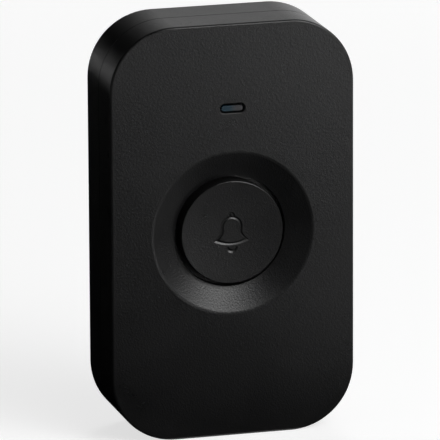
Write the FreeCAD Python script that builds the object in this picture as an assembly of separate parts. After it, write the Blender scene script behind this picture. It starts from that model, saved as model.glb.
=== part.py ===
import FreeCAD
import Part
import math
import os

# Push button of a wireless doorbell: a flat case for the wall with a round bell button in a dish, and a
# coin-cell radio transmitter inside.
# X runs to the right, Z up, and the wall plane is y = 0. The front faces -Y. The origin is the middle of
# the wall face. Lengths are millimetres.

Vector = FreeCAD.Vector
PARTS = "parts"

# Case
BODY_WIDTH = 48.0
BODY_HEIGHT = 81.0
CORNER_RADIUS = 12.5
FRONT_DEPTH = 8.5           # from the front face back to the seam
SEAM_GAP = 0.2
WALL = 2.0
FRONT_SKIN = 2.0
REAR_SKIN = 2.0
FRONT_EDGE_RADIUS = 0.45
REAR_EDGE_RADIUS = 0.8

# Tongue of the rear cover inside the front cover, and the gasket on its tip
TONGUE_THICKNESS = 0.8
TONGUE_HEIGHT = 1.2
TONGUE_CLEARANCE = 0.12
GASKET_THICKNESS = 0.6
GASKET_CLEARANCE = 0.03

# Friction pins that hold the two covers together
PIN_RADIUS = 1.1
PIN_LENGTH = 4.0
PIN_CLEARANCE = 0.02
PIN_TIP_CHAMFER = 0.3
PIN_FROM_SIDE = 8.0
PIN_FROM_END = 7.5
PIN_POST_RADIUS = 2.2
SOCKET_RADIUS = 2.4
SOCKET_CLEARANCE = 0.3      # between a post's shoulder and its socket
SOCKET_SPARE_DEPTH = 0.6

# Notch at the bottom of the seam, to prise the covers apart
NOTCH_WIDTH = 8.0
NOTCH_HEIGHT = 0.9
NOTCH_DEPTH = 0.7

# Screw holes to the wall, with a countersunk boss inside
WALL_SCREW_RADIUS = 2.2
WALL_SCREW_FROM_END = 9.5
WALL_BOSS_RADIUS = 5.0
WALL_BOSS_HEIGHT = 0.4
COUNTERSINK_RADIUS = 3.9
COUNTERSINK_DEPTH = 1.7

# Ribs that stiffen the rear cover's floor
RIB_THICKNESS = 1.0
RIB_HEIGHT = 1.0
RIB_CLIP_GAP = 0.65         # beside the legs of the cell's clip
RIB_LENGTH = 46.0

# Dish round the button
BUTTON_Z = -0.4
DISH_RADIUS = 15.8
DISH_DEPTH = 2.1
DISH_RIM_RADIUS = 1.5       # rounding where the dish meets the front face
DISH_SKIN = 1.8
BORE_EDGE_RADIUS = 0.15

# Button cap
CAP_RADIUS = 10.1
CAP_GAP = 0.75              # round the cap in its bore
CAP_RECESS = 0.6            # of the cap's edge below the front face
CAP_SAG = 0.45              # of the finger hollow in its face
CAP_EDGE_RADIUS = 0.3
CAP_FACE_THICKNESS = 1.5
CAP_SKIRT = 1.4
FLANGE_REACH = 1.45         # behind the edge of the bore
FLANGE_THICKNESS = 1.0
FLANGE_REST_GAP = 0.05
STEM_RADIUS = 2.6
STEM_GAP = 0.05
GUIDE_CLEARANCE = 0.2
GUIDE_WALL = 1.7
GUIDE_LENGTH = 2.7
LUG_WIDTH = 2.6             # two lugs keep the bell upright
LUG_REACH = 0.8

# Bell symbol cut into the cap, placed from the cap's middle
BELL_LINE = 0.55            # width of the line at the cap's face
BELL_LINE_FLOOR = 0.1
BELL_GROOVE_DEPTH = 0.14
BELL_SHOULDER_RADIUS = 1.83
BELL_SHOULDER_Z = 1.04
BELL_WAIST_Z = -0.2
BELL_FLARE = 0.38           # how far out the sides are halfway down the flare
BELL_MOUTH_HALF = 2.95
BELL_MOUTH_Z = -1.58
BELL_MOUTH_BELLY = 0.7
BELL_CORNER_OUT = 1.6       # of the line's half width, at the mouth's sharp corners
BELL_CORNER_DOWN = 0.6
BELL_KNOB_RADIUS = 0.4
BELL_KNOB_LINE = 0.36
BELL_KNOB_RISE = 0.36       # of the knob's middle above the shoulders
CLAPPER_RADIUS = 0.8
CLAPPER_Z = -2.95

# Rubber seal below the cap, and the ring that clamps it
SEAL_THICKNESS = 0.6
SEAL_WEB = 0.5
SEAL_FLAT_INNER_RADIUS = 8.6
SEAL_RIM_INSET = 0.1
PAD_RADIUS = 3.4
PAD_THICKNESS = 0.8
CLAMP_THICKNESS = 0.8
CLAMP_SKIRT_THICKNESS = 0.9
CLAMP_SKIRT_DEPTH = 2.0
CLAMP_CLEARANCE = 0.05
CLAMP_LIP = 0.9             # inside the guide's bore

# Window of the indicator light
WINDOW_FROM_END = 16.45
WINDOW_WIDTH = 4.9
WINDOW_HEIGHT = 1.8
WINDOW_EDGE_RADIUS = 0.2
LENS_GAP = 0.38
LENS_RECESS = 0.2
LENS_FLANGE_MARGIN = 1.2
LENS_FLANGE_THICKNESS = 0.8
LENS_PIPE_WIDTH = 3.2
LENS_PIPE_HEIGHT = 1.8
LENS_LED_GAP = 0.3

# Circuit board
BOARD_SIDE_GAP = 3.0        # to the case's inner wall
BOARD_END_GAP = 2.1         # to the pin sockets
BOARD_CLAMP_GAP = 1.7
BOARD_THICKNESS = 1.2
BOARD_CORNER_RADIUS = 2.0
BOARD_SCREW_FROM_SIDE = 3.5
BOARD_SCREW_FROM_END = 4.0
BOARD_HOLE_RADIUS = 1.2
BOARD_POST_RADIUS = 2.3
SCREW_RADIUS = 0.95
SCREW_LENGTH = 5.0
SCREW_CLEARANCE = 0.05
SCREW_HEAD_RADIUS = 1.9
SCREW_HEAD_HEIGHT = 1.2
SCREW_SLOT_WIDTH = 0.45
SCREW_SLOT_DEPTH = 0.6

# Tactile switch
SWITCH_SIDE = 6.0
SWITCH_BODY_HEIGHT = 3.2
SWITCH_FRAME_THICKNESS = 0.3
SWITCH_FRAME_DROP = 1.4
SWITCH_FRAME_CLEARANCE = 0.02
PLUNGER_RADIUS = 1.75
PLUNGER_CLEARANCE = 0.05
PLUNGER_RISE = 0.8          # above the switch's steel frame
PLUNGER_COLLAR = 0.5
PLUNGER_NUB_RADIUS = 0.9
PLUNGER_NUB_GAP = 0.05      # between the nub and the dome
FREE_PLAY = 0.35            # between the rubber pad and the plunger at rest
CONTACT_WELL_RADIUS = 2.5
CONTACT_WELL_FLOOR = 1.2
DOME_RADIUS = 2.2
DOME_RISE = 0.5
DOME_THICKNESS = 0.1
TERMINAL_WIDTH = 0.7
TERMINAL_THICKNESS = 0.3
TERMINAL_SPACING_Z = 4.5
TERMINAL_TOP = 1.6          # above the board's front face
TERMINAL_TAIL = 0.8         # beyond the board's rear face
TERMINAL_HOLE_RADIUS = 0.5

# Light-emitting diode under the window
LED_WIDTH = 3.2
LED_HEIGHT = 1.6
LED_THICKNESS = 1.0
LED_CAP_WIDTH = 0.4

# Coin cell, 20 mm across and 3.2 mm thick, in its holder
CELL_RADIUS = 10.0
CELL_THICKNESS = 3.2
CELL_CAP_RADIUS = 8.3
CELL_CAP_HEIGHT = 0.5
CELL_EDGE_CHAMFER = 0.2
CELL_SPARE = 0.8            # between the cell and the rear cover's floor
HOLDER_CLEARANCE = 0.2
HOLDER_SWITCH_GAP = 0.2
HOLDER_WALL = 1.2
HOLDER_BASE = 0.6
HOLDER_RIM_HEIGHT = 2.6
HOLDER_ARM = 5.0            # of straight side wall below the cell's middle
HOLDER_WINDOW_RADIUS = 6.0
CLIP_WIDTH = 5.0
CLIP_THICKNESS = 0.3
CLIP_BEND_RADIUS = 0.5
CLIP_FOOT = 1.6
CLIP_GAP = 0.15             # between the clip's legs and the holder
CONTACT_WIDTH = 3.0
CONTACT_LENGTH = 9.0
CONTACT_THICKNESS = 0.25

# Encoder chip in an eight-lead package
CHIP_X = -9.5
CHIP_Z = 12.0
CHIP_WIDTH = 3.9
CHIP_LENGTH = 4.9
CHIP_THICKNESS = 1.4
CHIP_STANDOFF = 0.1
CHIP_PITCH = 1.27
CHIP_DOT_RADIUS = 0.35
CHIP_DOT_DEPTH = 0.1
LEAD_WIDTH = 0.4
LEAD_THICKNESS = 0.2
LEAD_REACH = 1.0
LEADS_PER_SIDE = 4

# Radio parts
RESONATOR_X = 9.5
RESONATOR_Z = 12.0
RESONATOR_RADIUS = 4.2
RESONATOR_HEIGHT = 3.0
RESONATOR_BRIM = 0.4
RESONATOR_BRIM_THICKNESS = 0.4
RESONATOR_PIN_RADIUS = 0.22
RESONATOR_PIN_CIRCLE = 2.54
RESONATOR_PIN_TAIL = 0.6
RESONATOR_PIN_CLEARANCE = 0.07
TRANSISTOR_X = 0.0
TRANSISTOR_Z = 14.0
TRANSISTOR_WIDTH = 2.9
TRANSISTOR_HEIGHT = 1.3
TRANSISTOR_THICKNESS = 1.0
LOOP_INSET = 0.5
LOOP_WIDTH = 0.8
LOOP_THICKNESS = 0.07
LOOP_END_Z = 2.0

# Chip capacitors and resistors, each kind in a row on the board's rear face
CAPACITOR_LENGTH = 2.0
CAPACITOR_WIDTH = 1.2
CAPACITOR_THICKNESS = 0.9
CAPACITOR_COUNT = 5
CAPACITOR_PITCH = 3.5
CAPACITOR_ROW_X = 0.0
CAPACITOR_ROW_Z = 20.0
RESISTOR_LENGTH = 1.6
RESISTOR_WIDTH = 0.8
RESISTOR_THICKNESS = 0.45
RESISTOR_COUNT = 6
RESISTOR_PITCH = 2.4
RESISTOR_ROW_X = -6.0
RESISTOR_ROW_Z = 5.5
END_CAP_LENGTH = 0.3

# Depth of the case, from what is stacked in it
BODY_DEPTH = (DISH_DEPTH + DISH_SKIN + GUIDE_LENGTH + SEAL_THICKNESS + CLAMP_THICKNESS + BOARD_CLAMP_GAP
              + BOARD_THICKNESS + HOLDER_BASE + CELL_THICKNESS + CELL_SPARE + REAR_SKIN)

# Planes along Y
FRONT_Y = -BODY_DEPTH
SEAM_Y = FRONT_Y + FRONT_DEPTH
FRONT_RIM_Y = SEAM_Y - SEAM_GAP / 2
REAR_RIM_Y = SEAM_Y + SEAM_GAP / 2
SKIN_Y = FRONT_Y + FRONT_SKIN
FLOOR_Y = -REAR_SKIN
TONGUE_TIP_Y = REAR_RIM_Y - TONGUE_HEIGHT
RABBET_Y = TONGUE_TIP_Y - GASKET_THICKNESS - 2 * GASKET_CLEARANCE
PIN_SHOULDER_Y = REAR_RIM_Y + SOCKET_CLEARANCE
PIN_TIP_Y = PIN_SHOULDER_Y - PIN_LENGTH
DISH_EDGE_Y = FRONT_Y + DISH_DEPTH
DISH_UNDER_Y = DISH_EDGE_Y + DISH_SKIN
CAP_EDGE_Y = FRONT_Y + CAP_RECESS
CAP_MIDDLE_Y = CAP_EDGE_Y + CAP_SAG
CAP_UNDER_Y = CAP_MIDDLE_Y + CAP_FACE_THICKNESS
FLANGE_Y = DISH_UNDER_Y + FLANGE_REST_GAP
GUIDE_END_Y = DISH_UNDER_Y + GUIDE_LENGTH
SEAL_REAR_Y = GUIDE_END_Y + SEAL_THICKNESS
CLAMP_REAR_Y = SEAL_REAR_Y + CLAMP_THICKNESS
BOARD_FRONT_Y = CLAMP_REAR_Y + BOARD_CLAMP_GAP
BOARD_REAR_Y = BOARD_FRONT_Y + BOARD_THICKNESS
SWITCH_BODY_TOP_Y = BOARD_FRONT_Y - SWITCH_BODY_HEIGHT
SWITCH_TOP_Y = SWITCH_BODY_TOP_Y - SWITCH_FRAME_THICKNESS
WELL_FLOOR_Y = BOARD_FRONT_Y - CONTACT_WELL_FLOOR
DOME_TOP_Y = WELL_FLOOR_Y - DOME_RISE
PLUNGER_Y = SWITCH_TOP_Y - PLUNGER_RISE
PAD_REAR_Y = PLUNGER_Y - FREE_PLAY
PAD_FRONT_Y = PAD_REAR_Y - PAD_THICKNESS
STEM_END_Y = PAD_FRONT_Y - STEM_GAP
LED_TOP_Y = BOARD_FRONT_Y - LED_THICKNESS
CELL_FRONT_Y = BOARD_REAR_Y + HOLDER_BASE
CELL_REAR_Y = CELL_FRONT_Y + CELL_THICKNESS

# Radii, places and sizes that follow from the sizes above
BORE_RADIUS = CAP_RADIUS + CAP_GAP
FLANGE_RADIUS = BORE_RADIUS + FLANGE_REACH
GUIDE_RADIUS = FLANGE_RADIUS + GUIDE_CLEARANCE
GUIDE_OUTER_RADIUS = GUIDE_RADIUS + GUIDE_WALL
PIN_X = BODY_WIDTH / 2 - PIN_FROM_SIDE
PIN_Z = BODY_HEIGHT / 2 - PIN_FROM_END
WALL_SCREW_Z = BODY_HEIGHT / 2 - WALL_SCREW_FROM_END
WINDOW_Z = BODY_HEIGHT / 2 - WINDOW_FROM_END
BOARD_WIDTH = BODY_WIDTH - 2 * (WALL + BOARD_SIDE_GAP)
BOARD_HEIGHT = 2 * (PIN_Z - SOCKET_RADIUS - BOARD_END_GAP)
BOARD_SCREW_X = BOARD_WIDTH / 2 - BOARD_SCREW_FROM_SIDE
BOARD_SCREW_Z = BOARD_HEIGHT / 2 - BOARD_SCREW_FROM_END
HOLDER_RADIUS = CELL_RADIUS + HOLDER_CLEARANCE + HOLDER_WALL
CELL_Z = BUTTON_Z - SWITCH_SIDE / 2 - HOLDER_SWITCH_GAP - HOLDER_RADIUS
CLIP_INSIDE = HOLDER_RADIUS + CLIP_GAP
CLIP_OUTSIDE = CLIP_INSIDE + CLIP_THICKNESS


def slab(width, height, radius, y_one, y_two, x=0.0, z=0.0):
    """A plate across Y with round corners, between two planes."""
    low, high = sorted((y_one, y_two))
    box = Part.makeBox(width, high - low, height, Vector(x - width / 2, low, z - height / 2))
    if radius <= 0:
        return box
    upright = [edge for edge in box.Edges if runs_along_y(edge)]
    return box.makeFillet(radius, upright)


def runs_along_y(edge):
    """True for a straight edge parallel to Y."""
    if not isinstance(edge.Curve, Part.Line):
        return False
    return abs(abs(edge.Curve.Direction.y) - 1) < 1e-6


def disc(radius, y_one, y_two, x=0.0, z=0.0):
    """A round bar along Y between two planes."""
    low, high = sorted((y_one, y_two))
    return Part.makeCylinder(radius, high - low, Vector(x, low, z), Vector(0, 1, 0))


def cone(radius_one, y_one, radius_two, y_two, x=0.0, z=0.0):
    """A cone along Y with a radius at each of two planes."""
    if y_one > y_two:
        radius_one, y_one, radius_two, y_two = radius_two, y_two, radius_one, y_one
    return Part.makeCone(radius_one, radius_two, y_two - y_one, Vector(x, y_one, z), Vector(0, 1, 0))


def turned(points, x=0.0, z=0.0):
    """A solid turned about a line along Y, from (radius, y) corners."""
    corners = [Vector(radius, y, 0) for radius, y in points]
    face = Part.Face(Part.makePolygon(corners + corners[:1]))
    solid = face.revolve(Vector(0, 0, 0), Vector(0, 1, 0), 360)
    solid.translate(Vector(x, 0, z))
    return solid


def block(x_range, y_range, z_range):
    """A box between two planes on each axis."""
    (x0, x1), (y0, y1), (z0, z1) = (sorted(pair) for pair in (x_range, y_range, z_range))
    return Part.makeBox(x1 - x0, y1 - y0, z1 - z0, Vector(x0, y0, z0))


def obround(width, height, y_one, y_two, x=0.0, z=0.0):
    """A plate with fully round ends."""
    low, high = sorted((y_one, y_two))
    end = height / 2
    middle = block((x - width / 2 + end, x + width / 2 - end), (low, high), (z - end, z + end))
    ends = [disc(end, low, high, x + side * (width / 2 - end), z) for side in (-1, 1)]
    return middle.fuse(ends).removeSplitter()


def circles_at(shape, radius, y):
    """The round edges of that radius about a line along Y, on the plane y."""
    found = []
    for edge in shape.Edges:
        curve = edge.Curve
        if isinstance(curve, Part.Circle) and abs(abs(curve.Axis.y) - 1) < 1e-6:
            if abs(curve.Radius - radius) < 1e-4 and abs(curve.Center.y - y) < 1e-4:
                found.append(edge)
    return found


def outer_edges(shape, y):
    """The edges of a plain slab's face on the plane y."""
    return [e for e in shape.Edges if all(abs(v.Point.y - y) < 1e-6 for v in e.Vertexes)]


def four_places(x, z):
    """The same place in each of the four corners, as (x, z)."""
    return [(side * x, end * z) for side in (-1, 1) for end in (-1, 1)]


def save(name, shape):
    """Writes one named piece."""
    shape.exportStep(os.path.join(PARTS, name + ".step"))


def case_slab(inset, y_one, y_two):
    """A slab with the case's outline, drawn in by an inset."""
    return slab(BODY_WIDTH - 2 * inset, BODY_HEIGHT - 2 * inset, CORNER_RADIUS - inset, y_one, y_two)


def rear_cover():
    """Rear shell: goes on the wall, with the tongue, pins and screw holes."""
    shell = case_slab(0, 0, REAR_RIM_Y)
    shell = shell.makeFillet(REAR_EDGE_RADIUS, outer_edges(shell, 0))
    shell = shell.cut(case_slab(WALL, FLOOR_Y, REAR_RIM_Y - 1))
    tongue = case_slab(WALL - TONGUE_THICKNESS, REAR_RIM_Y + WALL, TONGUE_TIP_Y)
    tongue = tongue.cut(case_slab(WALL, REAR_RIM_Y + WALL, TONGUE_TIP_Y))
    boss_top = FLOOR_Y - WALL_BOSS_HEIGHT
    added = [tongue]
    for x, z in four_places(PIN_X, PIN_Z):
        added.append(disc(PIN_POST_RADIUS, FLOOR_Y, PIN_SHOULDER_Y, x, z))
        tip_radius = PIN_RADIUS - PIN_TIP_CHAMFER
        added.append(disc(PIN_RADIUS, PIN_SHOULDER_Y, PIN_TIP_Y + PIN_TIP_CHAMFER, x, z))
        added.append(cone(tip_radius, PIN_TIP_Y, PIN_RADIUS, PIN_TIP_Y + PIN_TIP_CHAMFER, x, z))
    for side in (-1, 1):
        added.append(disc(WALL_BOSS_RADIUS, FLOOR_Y, boss_top, 0, side * WALL_SCREW_Z))
        rib_x = side * (CLIP_OUTSIDE + RIB_CLIP_GAP + RIB_THICKNESS / 2)
        added.append(slab(RIB_THICKNESS, RIB_LENGTH, 0, FLOOR_Y, FLOOR_Y - RIB_HEIGHT, rib_x))
    shell = shell.fuse(added)
    removed = [block((-NOTCH_WIDTH / 2, NOTCH_WIDTH / 2), (REAR_RIM_Y - 1, REAR_RIM_Y + NOTCH_DEPTH),
                     (-BODY_HEIGHT / 2 - 1, -BODY_HEIGHT / 2 + NOTCH_HEIGHT))]
    for side in (-1, 1):
        z = side * WALL_SCREW_Z
        removed.append(disc(WALL_SCREW_RADIUS, 1, boss_top - 1, 0, z))
        sink_end = boss_top + COUNTERSINK_DEPTH
        removed.append(cone(COUNTERSINK_RADIUS, boss_top, WALL_SCREW_RADIUS, sink_end, 0, z))
    return shell.cut(removed).removeSplitter()


def front_cover():
    """Front shell: dish, button guide, light window, board posts and pin sockets."""
    shell = case_slab(0, FRONT_RIM_Y, FRONT_Y)
    shell = shell.makeFillet(FRONT_EDGE_RADIUS, outer_edges(shell, FRONT_Y))
    shell = shell.cut(case_slab(WALL, FRONT_RIM_Y + 1, SKIN_Y))
    shell = shell.cut(case_slab(WALL - TONGUE_THICKNESS - TONGUE_CLEARANCE, FRONT_RIM_Y + 1, RABBET_Y))
    dish_slope = (DISH_RADIUS - BORE_RADIUS) / DISH_DEPTH
    backing_radius = BORE_RADIUS + dish_slope * (DISH_SKIN + DISH_DEPTH - FRONT_SKIN) + DISH_SKIN
    added = [turned([(BORE_RADIUS - 1, (FRONT_Y + SKIN_Y) / 2), (backing_radius, (FRONT_Y + SKIN_Y) / 2),
                     (backing_radius, SKIN_Y), (GUIDE_OUTER_RADIUS, DISH_UNDER_Y),
                     (BORE_RADIUS - 1, DISH_UNDER_Y)], 0, BUTTON_Z)]
    added.append(disc(GUIDE_OUTER_RADIUS, DISH_UNDER_Y - DISH_SKIN / 2, GUIDE_END_Y, 0, BUTTON_Z))
    for x, z in four_places(PIN_X, PIN_Z):
        added.append(disc(SOCKET_RADIUS, SKIN_Y - FRONT_SKIN / 2, REAR_RIM_Y, x, z))
    for x, z in four_places(BOARD_SCREW_X, BOARD_SCREW_Z):
        added.append(disc(BOARD_POST_RADIUS, SKIN_Y - FRONT_SKIN / 2, BOARD_FRONT_Y, x, z))
    shell = shell.fuse(added)
    dish = cone(DISH_RADIUS + dish_slope, FRONT_Y - 1, BORE_RADIUS, DISH_EDGE_Y, 0, BUTTON_Z)
    removed = [dish, disc(BORE_RADIUS, FRONT_Y, DISH_UNDER_Y, 0, BUTTON_Z)]
    removed.append(disc(GUIDE_RADIUS, DISH_UNDER_Y, GUIDE_END_Y + 1, 0, BUTTON_Z))
    slot_half = LUG_WIDTH / 2 + GUIDE_CLEARANCE
    slot_reach = FLANGE_RADIUS + LUG_REACH + GUIDE_CLEARANCE
    removed.append(block((-slot_reach, slot_reach), (DISH_UNDER_Y, GUIDE_END_Y + 1),
                         (BUTTON_Z - slot_half, BUTTON_Z + slot_half)))
    removed.append(obround(WINDOW_WIDTH, WINDOW_HEIGHT, FRONT_Y - 1, SKIN_Y + 1, 0, WINDOW_Z))
    for x, z in four_places(PIN_X, PIN_Z):
        removed.append(disc(PIN_RADIUS + PIN_CLEARANCE, PIN_TIP_Y - SOCKET_SPARE_DEPTH, REAR_RIM_Y + 1, x, z))
    for x, z in four_places(BOARD_SCREW_X, BOARD_SCREW_Z):
        hole_end = BOARD_REAR_Y - SCREW_LENGTH - SOCKET_SPARE_DEPTH
        removed.append(disc(SCREW_RADIUS + SCREW_CLEARANCE, hole_end, BOARD_FRONT_Y + 1, x, z))
    shell = shell.cut(removed).removeSplitter()
    shell = shell.makeFillet(DISH_RIM_RADIUS, circles_at(shell, DISH_RADIUS, FRONT_Y))
    shell = shell.makeFillet(BORE_EDGE_RADIUS, circles_at(shell, BORE_RADIUS, DISH_EDGE_Y))
    window_edges = [e for e in outer_edges(shell, FRONT_Y)
                    if e.BoundBox.XMax < WINDOW_WIDTH and e.BoundBox.XMin > -WINDOW_WIDTH
                    and abs(e.BoundBox.Center.z - WINDOW_Z) < WINDOW_HEIGHT]
    return shell.makeFillet(WINDOW_EDGE_RADIUS, window_edges)


def housing_gasket():
    """Flat rubber ring between the tongue's tip and the front cover."""
    y_one = TONGUE_TIP_Y - GASKET_CLEARANCE
    y_two = y_one - GASKET_THICKNESS
    outer = case_slab(WALL - TONGUE_THICKNESS, y_one, y_two)
    return outer.cut(case_slab(WALL, y_one, y_two))


def bell_outline(grow, y):
    """The bell's outline on the plane y, as a wire, grown by half a line's width."""
    radius = BELL_SHOULDER_RADIUS + grow
    mouth = BELL_MOUTH_HALF + grow * BELL_CORNER_OUT
    low = BELL_MOUTH_Z - grow * BELL_CORNER_DOWN
    flare_x = radius + BELL_FLARE * (mouth - radius)
    flare_z = (BELL_WAIST_Z + low) / 2
    top = Vector(0, y, BELL_SHOULDER_Z + radius)
    bottom = Vector(0, y, BELL_MOUTH_Z - BELL_MOUTH_BELLY - grow)
    left, right = [
        [Vector(side * radius, y, BELL_SHOULDER_Z), Vector(side * radius, y, BELL_WAIST_Z),
         Vector(side * flare_x, y, flare_z), Vector(side * mouth, y, low)] for side in (-1, 1)]
    edges = [Part.Arc(left[0], top, right[0]), Part.LineSegment(right[0], right[1]),
             Part.Arc(right[1], right[2], right[3]), Part.Arc(right[3], bottom, left[3]),
             Part.Arc(left[3], left[2], left[1]), Part.LineSegment(left[1], left[0])]
    return Part.Wire([edge.toShape() for edge in edges])


def bell_symbol():
    """The bell's outline, knob and clapper: a line with slanted sides, down to the groove's floor."""
    y_floor = CAP_MIDDLE_Y + BELL_GROOVE_DEPTH
    y_top = CAP_MIDDLE_Y - BELL_GROOVE_DEPTH
    half_floor = BELL_LINE_FLOOR / 2
    half_top = BELL_LINE - half_floor

    def bell(side):
        outlines = [bell_outline(side * half_top, y_top), bell_outline(side * half_floor, y_floor)]
        return Part.makeLoft(outlines, True, True)

    def ring(radius, line, z):
        wide = line - half_floor
        outer, inner = [cone(radius + side * wide, y_top, radius + side * half_floor, y_floor, 0, z)
                        for side in (1, -1)]
        return outer.cut(inner)

    within = Part.Face(bell_outline(0, y_top)).extrude(Vector(0, y_floor - y_top, 0))
    knob_z = BELL_SHOULDER_Z + BELL_SHOULDER_RADIUS + BELL_KNOB_RISE
    knob = ring(BELL_KNOB_RADIUS, BELL_KNOB_LINE, knob_z).cut(within)
    below = block((-BELL_MOUTH_HALF, BELL_MOUTH_HALF), (y_top, y_floor),
                  (CLAPPER_Z - BELL_MOUTH_HALF, CLAPPER_Z))
    clapper = ring(CLAPPER_RADIUS, BELL_LINE, CLAPPER_Z).common(below)
    symbol = bell(1).cut(bell(-1)).fuse([knob, clapper])
    symbol.translate(Vector(0, 0, BUTTON_Z))
    return symbol


def button_cap():
    """Round cap with a finger hollow, a bell cut into it, a flange that holds it in, and a stem."""
    hollow_radius = (CAP_RADIUS ** 2 + CAP_SAG ** 2) / (2 * CAP_SAG)
    hollow_middle = Vector(0, CAP_MIDDLE_Y - hollow_radius, BUTTON_Z)
    cap = disc(CAP_RADIUS, CAP_EDGE_Y, FLANGE_Y, 0, BUTTON_Z)
    cap = cap.makeFillet(CAP_EDGE_RADIUS, circles_at(cap, CAP_RADIUS, CAP_EDGE_Y))
    flange = disc(FLANGE_RADIUS, FLANGE_Y, FLANGE_Y + FLANGE_THICKNESS, 0, BUTTON_Z)
    reach = FLANGE_RADIUS + LUG_REACH
    lugs = block((-reach, reach), (FLANGE_Y, FLANGE_Y + FLANGE_THICKNESS),
                 (BUTTON_Z - LUG_WIDTH / 2, BUTTON_Z + LUG_WIDTH / 2))
    cap = cap.fuse([flange, lugs])
    inside = disc(CAP_RADIUS - CAP_SKIRT, CAP_UNDER_Y, FLANGE_Y + FLANGE_THICKNESS + 1, 0, BUTTON_Z)
    cap = cap.cut(inside).fuse(disc(STEM_RADIUS, CAP_UNDER_Y, STEM_END_Y, 0, BUTTON_Z))
    cap = cap.cut(Part.makeSphere(hollow_radius, hollow_middle))
    return cap.cut(bell_symbol()).removeSplitter()


def button_seal():
    """Rubber diaphragm: a clamped rim, a cone and a thick pad under the stem."""
    rim = GUIDE_OUTER_RADIUS - SEAL_RIM_INSET
    flat = SEAL_FLAT_INNER_RADIUS
    slope = (GUIDE_END_Y - PAD_FRONT_Y) / (flat - PAD_RADIUS)
    web = SEAL_WEB * math.sqrt(1 + slope ** 2)
    return turned([(0, PAD_FRONT_Y), (PAD_RADIUS, PAD_FRONT_Y), (flat, GUIDE_END_Y), (rim, GUIDE_END_Y),
                   (rim, SEAL_REAR_Y), (flat - (SEAL_THICKNESS - web) / slope, SEAL_REAR_Y),
                   (PAD_RADIUS - (PAD_THICKNESS - web) / slope, PAD_REAR_Y), (0, PAD_REAR_Y)], 0, BUTTON_Z)


def seal_clamp_ring():
    """Ring with a skirt that presses the seal's rim against the guide."""
    skirt_inner = GUIDE_OUTER_RADIUS + CLAMP_CLEARANCE
    skirt_outer = skirt_inner + CLAMP_SKIRT_THICKNESS
    skirt_end = GUIDE_END_Y - CLAMP_SKIRT_DEPTH
    lip = GUIDE_RADIUS - CLAMP_LIP
    return turned([(lip, SEAL_REAR_Y), (skirt_inner, SEAL_REAR_Y), (skirt_inner, skirt_end),
                   (skirt_outer, skirt_end), (skirt_outer, CLAMP_REAR_Y), (lip, CLAMP_REAR_Y)], 0, BUTTON_Z)


def led_lens():
    """Clear window with a flange behind the skin, and a light pipe to the diode."""
    width = WINDOW_WIDTH - 2 * LENS_GAP
    height = WINDOW_HEIGHT - 2 * LENS_GAP
    window = obround(width, height, FRONT_Y + LENS_RECESS, SKIN_Y, 0, WINDOW_Z)
    flange = slab(WINDOW_WIDTH + 2 * LENS_FLANGE_MARGIN, WINDOW_HEIGHT + 2 * LENS_FLANGE_MARGIN,
                  LENS_FLANGE_THICKNESS, SKIN_Y, SKIN_Y + LENS_FLANGE_THICKNESS, 0, WINDOW_Z)
    pipe = slab(LENS_PIPE_WIDTH, LENS_PIPE_HEIGHT, 0, SKIN_Y, LED_TOP_Y - LENS_LED_GAP, 0, WINDOW_Z)
    return window.fuse([flange, pipe]).removeSplitter()


def circuit_board():
    """Board with holes for its screws, the switch and the resonator."""
    board = slab(BOARD_WIDTH, BOARD_HEIGHT, BOARD_CORNER_RADIUS, BOARD_FRONT_Y, BOARD_REAR_Y)
    holes = [(x, z, BOARD_HOLE_RADIUS) for x, z in four_places(BOARD_SCREW_X, BOARD_SCREW_Z)]
    holes += [(x, z, TERMINAL_HOLE_RADIUS) for x, z in terminal_places()]
    holes += [(x, z, RESONATOR_PIN_RADIUS + RESONATOR_PIN_CLEARANCE) for x, z in resonator_pin_places()]
    return board.cut([disc(radius, BOARD_FRONT_Y - 1, BOARD_REAR_Y + 1, x, z) for x, z, radius in holes])


def board_screws():
    """Four pan-head screws with cross slots, from the board's rear into the posts."""
    screws = []
    for x, z in four_places(BOARD_SCREW_X, BOARD_SCREW_Z):
        head_top = BOARD_REAR_Y + SCREW_HEAD_HEIGHT
        head = disc(SCREW_HEAD_RADIUS, BOARD_REAR_Y, head_top, x, z)
        head = head.makeFillet(SCREW_HEAD_HEIGHT / 2, circles_at(head, SCREW_HEAD_RADIUS, head_top))
        tip = BOARD_REAR_Y - SCREW_LENGTH
        screw = head.fuse([disc(SCREW_RADIUS, tip + SCREW_RADIUS, BOARD_REAR_Y, x, z),
                           cone(SCREW_RADIUS / 3, tip, SCREW_RADIUS, tip + SCREW_RADIUS, x, z)])
        arm = SCREW_HEAD_RADIUS * 0.6
        half = SCREW_SLOT_WIDTH / 2
        floor = head_top - SCREW_SLOT_DEPTH
        screw = screw.cut([block((x - arm, x + arm), (floor, head_top + 1), (z - half, z + half)),
                           block((x - half, x + half), (floor, head_top + 1), (z - arm, z + arm))])
        screws.append(screw.removeSplitter())
    return Part.makeCompound(screws)


def terminal_places():
    """Where the switch's four terminals go through the board."""
    x = SWITCH_SIDE / 2 + TERMINAL_THICKNESS / 2
    return [(sx * x, BUTTON_Z + sz * TERMINAL_SPACING_Z / 2) for sx in (-1, 1) for sz in (-1, 1)]


def switch_body():
    """Moulded base of the switch, with a well for the contact dome and the plunger's collar."""
    body = slab(SWITCH_SIDE, SWITCH_SIDE, 0, BOARD_FRONT_Y, SWITCH_BODY_TOP_Y, 0, BUTTON_Z)
    return body.cut(disc(CONTACT_WELL_RADIUS, WELL_FLOOR_Y, SWITCH_BODY_TOP_Y - 1, 0, BUTTON_Z))


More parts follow.
